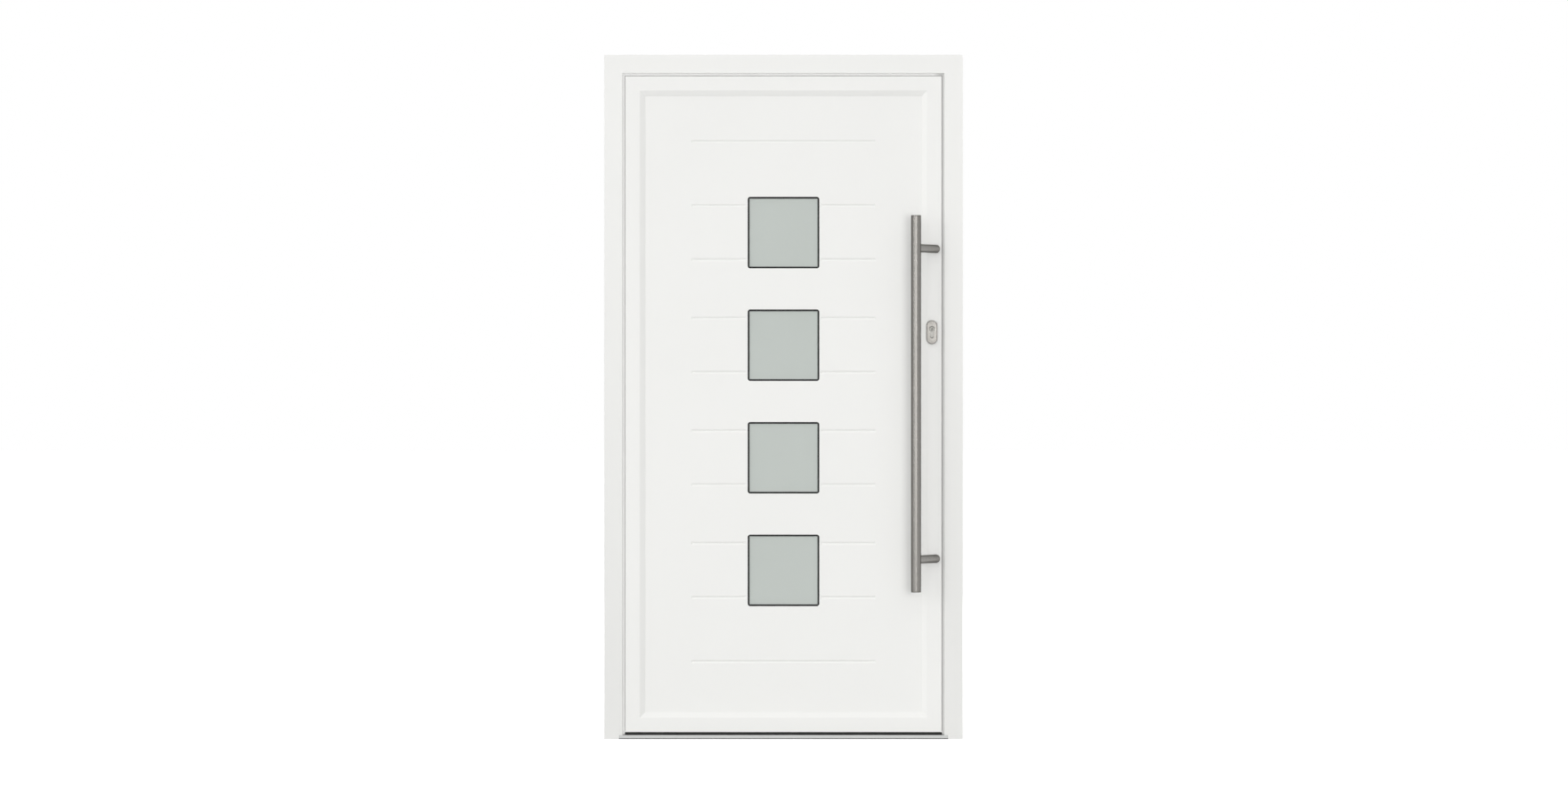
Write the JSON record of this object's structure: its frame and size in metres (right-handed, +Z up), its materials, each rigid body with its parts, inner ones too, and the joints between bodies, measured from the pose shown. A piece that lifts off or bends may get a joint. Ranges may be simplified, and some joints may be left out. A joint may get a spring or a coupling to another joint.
{
  "type": "aluminium front door",
  "caption": "White aluminium front door in its frame: a flush panel leaf with a row of small square frosted windows, shallow grooves and a long steel pull bar, hinged to open inward.",
  "frame": {"origin": "middle of the threshold's underside, at half the frame's depth", "axes": "+Z up, +Y from outside to inside, hinges on the -X side and lock on the +X side"},
  "size_m": [1.1, 0.231, 2.1],
  "materials": {
    "frame_white": "satin white powder coat",
    "leaf_white": "satin white powder coat",
    "panel_white": "satin white powder coat",
    "hinge_white": "satin white powder coat",
    "break_plastic": "black glass-filled polyamide",
    "core_foam": "rigid insulating foam",
    "grey_seal": "light grey rubber",
    "black_seal": "black rubber",
    "threshold_aluminium": "natural anodised",
    "spacer_aluminium": "mill finish",
    "frosted_glass": "satin etched",
    "brushed_stainless": "brushed stainless steel",
    "lock_steel": "satin steel",
    "cylinder_nickel": "matt nickel"
  },
  "bodies": {
    "frame": {"hinge_jamb": "frame_white", "lock_jamb": "frame_white", "frame_head": "frame_white", "frame_thermal_break": "break_plastic", "strike_plates": "lock_steel", "outside_seal": "grey_seal", "rebate_seal": "grey_seal", "threshold_base": "break_plastic", "threshold_outer_cover": "threshold_aluminium", "threshold_inner_cover": "threshold_aluminium", "bottom_hinge_frame_wing": "hinge_white", "middle_hinge_frame_wing": "hinge_white", "top_hinge_frame_wing": "hinge_white", "hinge_pins": "lock_steel"},
    "leaf": {"hinge_stile": "leaf_white", "lock_stile": "leaf_white", "top_rail": "leaf_white", "bottom_rail": "leaf_white", "leaf_thermal_break": "break_plastic", "panel_beads": "leaf_white", "bottom_seal": "black_seal", "lock_faceplate": "lock_steel", "lock_bolts": "lock_steel", "panel_outer_sheet": "panel_white", "panel_core": "core_foam", "panel_inner_sheet": "panel_white", "window_glass_1": "frosted_glass", "window_glass_2": "frosted_glass", "window_glass_3": "frosted_glass", "window_glass_4": "frosted_glass", "window_spacers": "spacer_aluminium", "outside_window_seals": "black_seal", "inside_window_seals": "black_seal", "pull_bar": "brushed_stainless", "pull_bar_caps": "brushed_stainless", "upper_bracket": "brushed_stainless", "lower_bracket": "brushed_stainless", "outside_rosette": "brushed_stainless", "inside_rosette": "brushed_stainless", "lock_cylinder": "cylinder_nickel", "lever_rosette": "brushed_stainless", "inside_lever": "brushed_stainless", "bottom_hinge_leaf_wing": "hinge_white", "middle_hinge_leaf_wing": "hinge_white", "top_hinge_leaf_wing": "hinge_white"}
  },
  "joints": [
    {"name": "leaf_swing", "type": "hinge", "parent": "frame", "child": "leaf", "pos_m": [-0.502, 0.0545, 0], "axis": [0, 0, 1], "range_deg": [0, 110]}
  ]
}
